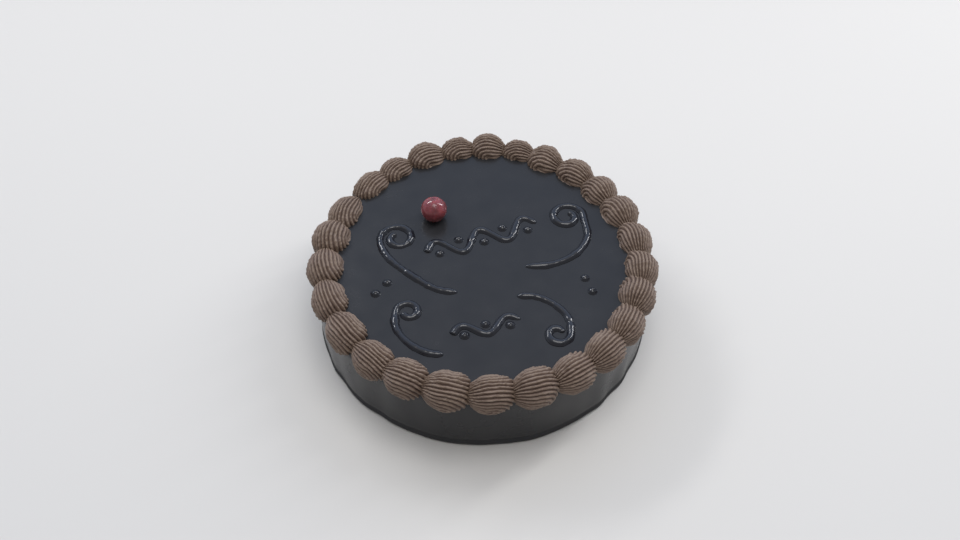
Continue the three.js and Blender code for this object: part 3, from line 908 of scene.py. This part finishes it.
def slumped(tree, up, foot, height):
    """How wide slumped chocolate spreads, and how tall it is, at this height on a circle or a ball."""
    low = add(tree, "ShaderNodeMath", [1.0, up], operation="SUBTRACT", use_clamp=True)
    low = add(tree, "ShaderNodeMath", [low, FLARE_SHARPNESS], operation="POWER")
    spread = add(tree, "ShaderNodeMath", [low, foot, 1.0], operation="MULTIPLY_ADD")
    is_up = add(tree, "ShaderNodeMath", [up, 0.0], operation="GREATER_THAN")
    return spread, add(tree, "ShaderNodeMix", {"Factor": is_up, "A": UNDERSIDE, "B": height})


section = add(t, "GeometryNodeCurvePrimitiveCircle", {
    "Resolution": SECTION_STEPS, "Radius": 1.0}, mode="RADIUS")
spot = add(t, "GeometryNodeInputPosition")
axes = add(t, "ShaderNodeSeparateXYZ", [spot])
sideways, up = axes.outputs["X"], axes.outputs["Y"]
spread, tall = slumped(t, up, given["Foot"], given["Height"])
half = add(t, "ShaderNodeMath", [given["Width"], 0.5], operation="MULTIPLY")
half = add(t, "ShaderNodeMath", [half, spread], operation="MULTIPLY")
x = add(t, "ShaderNodeMath", [sideways, half], operation="MULTIPLY")
y = add(t, "ShaderNodeMath", [up, tall], operation="MULTIPLY")
shape = add(t, "ShaderNodeCombineXYZ", [x, y, 0.0])
# a swept section hangs upside down, so it is turned over first
shape = add(t, "ShaderNodeVectorMath", {"Vector": shape, "Scale": -1.0}, operation="SCALE")
section = add(t, "GeometryNodeSetPosition", {"Geometry": section, "Position": shape})
strand = add(t, "GeometryNodeCurveToMesh", {
    "Curve": path, "Profile Curve": section, "Scale": thick, "Fill Caps": True})
close_shape(t, strand, given["Chocolate"])
print("line tree:", len(t.nodes), "nodes")

# %% Piping the lines
PRESSED_IN = 0.1 * MM  # how far the lines and the drops sink into the glaze
for index, (name, route) in enumerate(routes.items()):
    places = [AXIS + Vector((point.x * MM, point.y * MM, CAKE_TOP - PRESSED_IN)) for point in route]
    mesh = run_shape(line_tree, "piped_" + name, {
        "Width": 4.4 * MM, "Height": 1.9 * MM, "Foot": 0.35, "Start": 1.6 * MM, "End": 6 * MM,
        "Unevenness": 0.35, "Seed": float(index), "Chocolate": piping}, start=strung(places))
    shown(mesh, name)
    print(mesh.name, len(mesh.polygons), "faces")

# %% [markdown]
# ## The drops
# A drop is what leaves the cone when it is held still: a round bead with a spread foot, and a small
# tip where the cone came away. Four lie at the sides, and one lies in each bend of the wavy lines. One
# tree makes them all, from a ball: its upper half is stretched to the drop's height, and its lower
# half is pressed flat into the glaze.

# %% Drop tree
DROP_STEPS = (32, 24)
TIP_SPOT, TIP_WIDTH = (0.15, 0.1, 1), 0.5
drop_tree, given = new_shape("piped drop", {
    "Radius": "Float", "Height": "Float", "Foot": "Float", "Peak": "Float", "Place": "Vector",
    "Chocolate": "Material"})
t = drop_tree
ball = add(t, "GeometryNodeMeshUVSphere", [*DROP_STEPS, 1.0])
spot = add(t, "GeometryNodeInputPosition")
up = add(t, "ShaderNodeSeparateXYZ", [spot]).outputs["Z"]
spread, tall = slumped(t, up, given["Foot"], given["Height"])
wide = add(t, "ShaderNodeMath", [given["Radius"], spread], operation="MULTIPLY")
spans = add(t, "ShaderNodeCombineXYZ", [wide, wide, tall])
bead = add(t, "ShaderNodeVectorMath", [spot, spans], operation="MULTIPLY")
tip = near(t, spot, TIP_SPOT, TIP_WIDTH)
tip = add(t, "ShaderNodeMath", [tip, given["Peak"]], operation="MULTIPLY")
tip = add(t, "ShaderNodeCombineXYZ", [0.0, 0.0, tip])
bead = add(t, "ShaderNodeVectorMath", [bead, tip], operation="ADD")
bead = add(t, "ShaderNodeVectorMath", [bead, given["Place"]], operation="ADD")
moved = add(t, "GeometryNodeSetPosition", {"Geometry": ball, "Position": bead})
close_shape(t, moved, given["Chocolate"])
print("drop tree:", len(t.nodes), "nodes")

# %% Setting the drops
for name in sorted(name for name in frame["nodes"] if name.startswith("dot_")):
    low_corner, high_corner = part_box(name)
    middle = (low_corner + high_corner) / 2
    mesh = run_shape(drop_tree, "piped_" + name, {
        "Radius": (high_corner.x - low_corner.x) / 2, "Height": 2.2 * MM, "Foot": 0.3, "Peak": 0.5 * MM,
        "Place": (middle.x, middle.y, CAKE_TOP - PRESSED_IN), "Chocolate": piping})
    shown(mesh, name)
print("drops:", len(mesh.polygons), "faces each")

# %% [markdown]
# Ridges, lumps and soft edges are finer than the solids, so the finished cake may stand out from them
# by a hair here and there. Its size has to stay theirs.

# %% Sizes
import json
